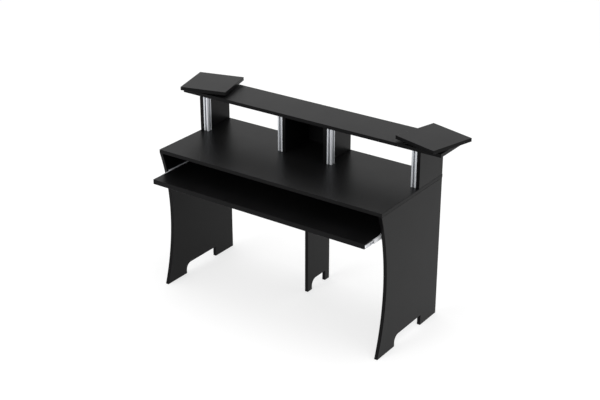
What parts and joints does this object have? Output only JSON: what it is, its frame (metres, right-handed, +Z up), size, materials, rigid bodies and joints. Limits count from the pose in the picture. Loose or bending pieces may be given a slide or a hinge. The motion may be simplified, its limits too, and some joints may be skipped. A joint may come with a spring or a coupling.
{
  "type": "studio desk",
  "caption": "Studio desk with a pull-out keyboard tray on ball-bearing slides, a raised rack bridge with slotted posts and turning speaker platforms.",
  "frame": {"origin": "on the floor under the middle of the space that the desk takes with its tray as pictured", "axes": "+X to the sitter's right along the worktop, +Y to the back of the desk, +Z up"},
  "size_m": [1.5922, 0.6698, 0.973],
  "materials": {
    "black_board": "black melamine-faced board, matt with a faint sheen",
    "post_aluminium": "satin anodised extrusion",
    "zinc_sheet": "zinc-plated rolled sheet",
    "ball_steel": "polished steel",
    "dark_steel": "blackened steel, satin"
  },
  "bodies": {
    "carcass": {"worktop": "black_board", "side_panel_left": "black_board", "side_panel_right": "black_board", "centre_leg": "black_board", "back_rail": "black_board", "upper_panel_left": "black_board", "upper_panel_right": "black_board", "centre_panel_left": "black_board", "centre_panel_right": "black_board", "compartment_back": "black_board", "upper_shelf": "black_board", "rack_post_left_outer": "post_aluminium", "rack_post_left_inner": "post_aluminium", "rack_post_right_inner": "post_aluminium", "rack_post_right_outer": "post_aluminium", "post_bolt_left_outer": "dark_steel", "post_bolt_left_inner": "dark_steel", "post_bolt_right_inner": "dark_steel", "post_bolt_right_outer": "dark_steel", "slide_cabinet_member_left": "zinc_sheet", "slide_cabinet_member_right": "zinc_sheet", "slide_screw_left_front": "dark_steel", "slide_screw_left_rear": "dark_steel", "slide_screw_right_front": "dark_steel", "slide_screw_right_rear": "dark_steel", "worktop_cam_left_front": "zinc_sheet", "worktop_cam_left_rear": "zinc_sheet", "worktop_cam_right_front": "zinc_sheet", "worktop_cam_right_rear": "zinc_sheet", "worktop_cam_bolt_left_front": "dark_steel", "worktop_cam_bolt_left_rear": "dark_steel", "worktop_cam_bolt_right_front": "dark_steel", "worktop_cam_bolt_right_rear": "dark_steel", "rail_cam_left": "zinc_sheet", "rail_cam_right": "zinc_sheet", "rail_cam_bolt_left": "dark_steel", "rail_cam_bolt_right": "dark_steel", "bearing_base_left": "zinc_sheet", "bearing_base_right": "zinc_sheet"},
    "tray": {"keyboard_tray": "black_board", "slide_drawer_member_left": "zinc_sheet", "slide_drawer_member_right": "zinc_sheet", "tray_screw_left_front": "dark_steel", "tray_screw_left_rear": "dark_steel", "tray_screw_right_front": "dark_steel", "tray_screw_right_rear": "dark_steel"},
    "slide_middle_left": {"slide_middle_member_left": "zinc_sheet"},
    "slide_middle_right": {"slide_middle_member_right": "zinc_sheet"},
    "slide_outer_cage_left": {"slide_outer_balls_left": "ball_steel"},
    "slide_outer_cage_right": {"slide_outer_balls_right": "ball_steel"},
    "slide_inner_cage_left": {"slide_inner_balls_left": "ball_steel"},
    "slide_inner_cage_right": {"slide_inner_balls_right": "ball_steel"},
    "platform_left": {"speaker_platform_left": "black_board", "bearing_top_left": "zinc_sheet"},
    "platform_right": {"speaker_platform_right": "black_board", "bearing_top_right": "zinc_sheet"},
    "bearing_cage_left": {"bearing_balls_left": "ball_steel"},
    "bearing_cage_right": {"bearing_balls_right": "ball_steel"}
  },
  "joints": [
    {"name": "tray_slide", "type": "slide", "parent": "carcass", "child": "tray", "axis": [0, -1, 0], "range_m": [-0.126, 0.174]},
    {"name": "middle_slide_left", "type": "slide", "parent": "carcass", "child": "slide_middle_left", "axis": [0, -1, 0], "range_m": [-0.063, 0.087]},
    {"name": "middle_slide_right", "type": "slide", "parent": "carcass", "child": "slide_middle_right", "axis": [0, -1, 0], "range_m": [-0.063, 0.087]},
    {"name": "outer_cage_slide_left", "type": "slide", "parent": "carcass", "child": "slide_outer_cage_left", "axis": [0, -1, 0], "range_m": [-0.0315, 0.0435]},
    {"name": "outer_cage_slide_right", "type": "slide", "parent": "carcass", "child": "slide_outer_cage_right", "axis": [0, -1, 0], "range_m": [-0.0315, 0.0435]},
    {"name": "inner_cage_slide_left", "type": "slide", "parent": "carcass", "child": "slide_inner_cage_left", "axis": [0, -1, 0], "range_m": [-0.0945, 0.1305]},
    {"name": "inner_cage_slide_right", "type": "slide", "parent": "carcass", "child": "slide_inner_cage_right", "axis": [0, -1, 0], "range_m": [-0.0945, 0.1305]},
    {"name": "platform_left_swivel", "type": "hinge", "parent": "carcass", "child": "platform_left", "pos_m": [-0.6455, 0.18431, 0.951], "axis": [0, 0, 1], "continuous": true},
    {"name": "platform_right_swivel", "type": "hinge", "parent": "carcass", "child": "platform_right", "pos_m": [0.6455, 0.18431, 0.951], "axis": [0, 0, 1], "continuous": true},
    {"name": "bearing_cage_left_turn", "type": "hinge", "parent": "carcass", "child": "bearing_cage_left", "pos_m": [-0.6455, 0.18431, 0.951], "axis": [0, 0, 1], "continuous": true},
    {"name": "bearing_cage_right_turn", "type": "hinge", "parent": "carcass", "child": "bearing_cage_right", "pos_m": [0.6455, 0.18431, 0.951], "axis": [0, 0, 1], "continuous": true}
  ],
  "couplings": [
    {"joint": "middle_slide_left", "follows": "tray_slide", "ratio": 0.5},
    {"joint": "middle_slide_right", "follows": "tray_slide", "ratio": 0.5},
    {"joint": "outer_cage_slide_left", "follows": "tray_slide", "ratio": 0.25},
    {"joint": "outer_cage_slide_right", "follows": "tray_slide", "ratio": 0.25},
    {"joint": "inner_cage_slide_left", "follows": "tray_slide", "ratio": 0.75},
    {"joint": "inner_cage_slide_right", "follows": "tray_slide", "ratio": 0.75},
    {"joint": "bearing_cage_left_turn", "follows": "platform_left_swivel", "ratio": 0.5},
    {"joint": "bearing_cage_right_turn", "follows": "platform_right_swivel", "ratio": 0.5}
  ]
}
